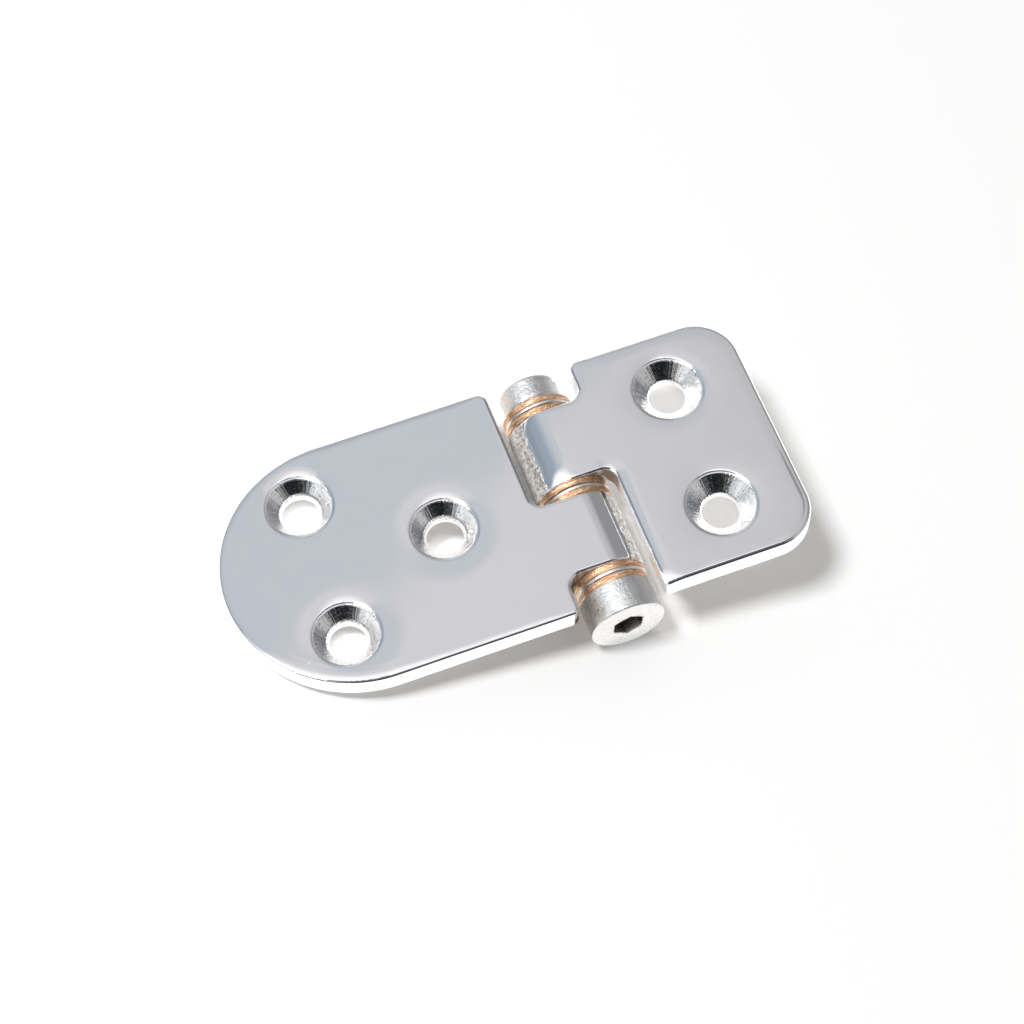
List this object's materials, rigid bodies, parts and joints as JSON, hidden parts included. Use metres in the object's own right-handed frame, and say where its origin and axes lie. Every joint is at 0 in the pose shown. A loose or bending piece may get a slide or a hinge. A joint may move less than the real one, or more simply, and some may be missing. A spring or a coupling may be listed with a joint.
{
  "type": "friction hinge",
  "caption": "Lift-up hinge with a round-ended leaf and a square leaf on a screw-tensioned barrel with bronze friction washers.",
  "frame": {"origin": "on the pivot axis, midway along the leaves' width", "axes": "+X from the pivot towards the square leaf, +Y along the pivot towards the round nut, +Z out of the polished faces with the hinge laid flat"},
  "size_m": [0.0817, 0.0406, 0.0108],
  "materials": {
    "polished_casting": "cast stainless steel, mirror-polished on the face, matt as cast on the sides of the barrel",
    "screw_steel": "stainless steel, tumbled satin",
    "spring_steel": "stainless spring steel, bright rim",
    "bronze": "phosphor bronze, stamped, dull rim"
  },
  "bodies": {
    "rounded_side": {"rounded_leaf": "polished_casting", "pivot_screw": "screw_steel", "round_nut": "screw_steel", "head_washer_near": "bronze", "head_disc_spring": "spring_steel", "head_washer_far": "bronze", "middle_washer_near": "bronze", "middle_disc_spring": "spring_steel", "middle_washer_far": "bronze", "nut_washer_near": "bronze", "nut_disc_spring": "spring_steel", "nut_washer_far": "bronze"},
    "square_side": {"square_leaf": "polished_casting"}
  },
  "joints": [
    {"name": "pivot", "type": "hinge", "parent": "rounded_side", "child": "square_side", "pos_m": [0, 0, 0], "axis": [0, -1, 0], "range_deg": [-180, 93]}
  ]
}
